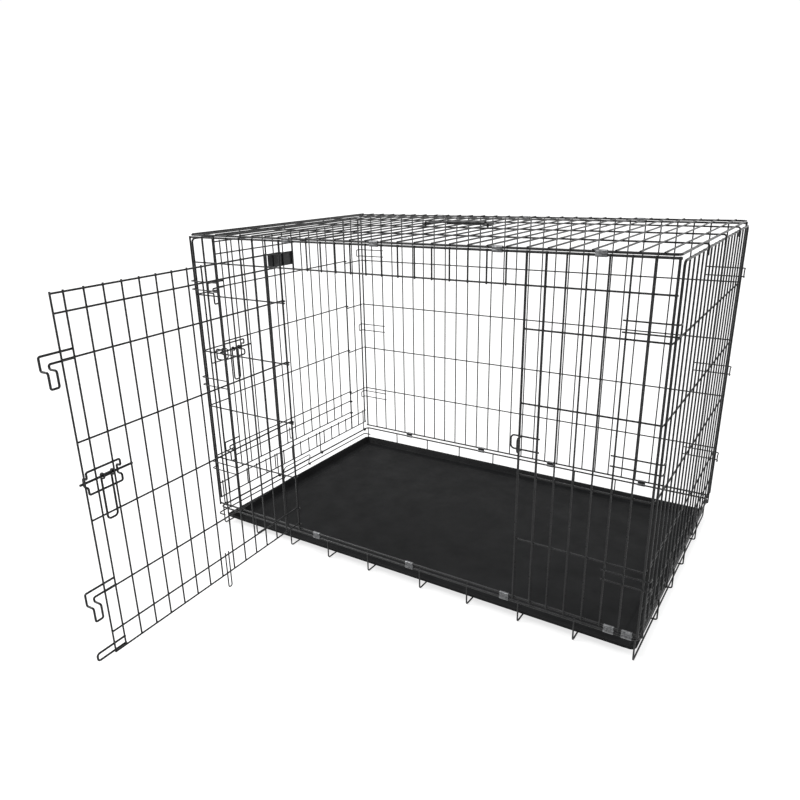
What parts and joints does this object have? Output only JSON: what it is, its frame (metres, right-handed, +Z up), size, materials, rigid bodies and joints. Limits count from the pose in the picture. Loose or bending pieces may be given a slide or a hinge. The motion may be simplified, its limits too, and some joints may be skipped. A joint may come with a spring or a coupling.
{
  "type": "wire dog crate",
  "caption": "Folding wire dog crate: welded wire panels on a wire base with a pull-out tray, a hinged front door and end door with slide bolts, and a carry handle.",
  "frame": {"origin": "centre of the crate's footprint, on the floor under its base wires", "axes": "+X towards the end without a door, -Y towards the front door, +Z up"},
  "size_m": [1.2605, 1.4355, 0.8666],
  "materials": {
    "wire_coat": "black electro-coat, semi-gloss",
    "clip_steel": "coated sheet steel, worn bright on the bends",
    "tray_plastic": "matt black moulded plastic with a fine grain",
    "grip_plastic": "satin black moulded grip",
    "name_plate": "blank black plate"
  },
  "bodies": {
    "cage": {"front_left_grille": "wire_coat", "front_header": "wire_coat", "front_right_grille": "wire_coat", "front_bottom_wire": "wire_coat", "rear_panel": "wire_coat", "top_panel": "wire_coat", "top_end_hooks": "wire_coat", "base_rim": "wire_coat", "base_floor_grid": "wire_coat", "base_left_wire": "wire_coat", "front_bottom_clips": "clip_steel", "front_top_clips": "clip_steel", "rear_bottom_clips": "clip_steel", "rear_top_clips": "clip_steel", "front_corner_hooks": "wire_coat", "rear_corner_hooks": "wire_coat", "front_bolt_keeper": "wire_coat", "front_bolt_staple": "wire_coat", "carry_handle_brackets": "wire_coat"},
    "left_end": {"left_end_frame": "wire_coat", "left_end_front_strip": "wire_coat", "left_end_rear_strip": "wire_coat", "left_end_sill": "wire_coat", "left_end_hinge_tabs": "wire_coat", "end_bolt_keeper": "wire_coat", "end_bolt_staple": "wire_coat"},
    "right_end": {"right_end_panel": "wire_coat", "right_end_hinge_tabs": "wire_coat"},
    "front_door": {"front_door_grid": "wire_coat", "front_door_upper_hook": "wire_coat", "front_door_lower_hook": "wire_coat", "front_door_bottom_loop": "wire_coat", "front_door_prong": "wire_coat", "front_bolt_guide": "wire_coat"},
    "front_bolt": {"front_bolt_rod": "wire_coat"},
    "front_handle": {"front_bolt_handle": "wire_coat"},
    "end_door": {"end_door_grid": "wire_coat", "end_door_upper_hook": "wire_coat", "end_door_lower_hook": "wire_coat", "end_door_prong": "wire_coat", "end_door_nameplate": "name_plate", "end_bolt_guide": "wire_coat"},
    "end_bolt": {"end_bolt_rod": "wire_coat"},
    "end_handle": {"end_bolt_handle": "wire_coat"},
    "carry_handle": {"carry_handle_bail": "wire_coat", "carry_handle_grip": "grip_plastic"},
    "tray": {"tray": "tray_plastic"},
    "tray_stop": {"tray_stop": "wire_coat"}
  },
  "joints": [
    {"name": "front_door_swing", "type": "hinge", "parent": "cage", "child": "front_door", "pos_m": [-0.301, -0.3884, 0.446], "axis": [0, 0, 1], "range_deg": [-60.9, 87.06]},
    {"name": "front_bolt_slide", "type": "slide", "parent": "front_door", "child": "front_bolt", "axis": [0.0513, -0.9987, 0], "range_m": [0, 0.027]},
    {"name": "front_handle_swing", "type": "hinge", "parent": "front_bolt", "child": "front_handle", "pos_m": [-0.29041, -0.94159, 0.452], "axis": [-0.0513, 0.9987, 0], "range_deg": [0, 150]},
    {"name": "left_end_fold", "type": "hinge", "parent": "cage", "child": "left_end", "pos_m": [-0.60815, 0, 0.056], "axis": [0, 1, 0], "range_deg": [0, 88]},
    {"name": "end_door_swing", "type": "hinge", "parent": "left_end", "child": "end_door", "pos_m": [-0.6134, 0.292, 0.481], "axis": [0, 0, 1], "range_deg": [-148, 0]},
    {"name": "end_bolt_slide", "type": "slide", "parent": "end_door", "child": "end_bolt", "axis": [0, -1, 0], "range_m": [0, 0.027]},
    {"name": "end_handle_swing", "type": "hinge", "parent": "end_bolt", "child": "end_handle", "pos_m": [-0.6312, -0.239, 0.507], "axis": [0, 1, 0], "range_deg": [0, 150]},
    {"name": "right_end_fold", "type": "hinge", "parent": "cage", "child": "right_end", "pos_m": [0.60815, 0, 0.056], "axis": [0, 1, 0], "range_deg": [-88, 0]},
    {"name": "carry_handle_flip", "type": "hinge", "parent": "cage", "child": "carry_handle", "pos_m": [0, -0.055, 0.859], "axis": [1, 0, 0], "range_deg": [0, 176]},
    {"name": "tray_slide", "type": "slide", "parent": "cage", "child": "tray", "axis": [-1, 0, 0], "range_m": [0, 0.8]},
    {"name": "tray_stop_swing", "type": "hinge", "parent": "cage", "child": "tray_stop", "pos_m": [-0.622, 0, 0.03], "axis": [0, 1, 0], "range_deg": [-140, 0]}
  ]
}
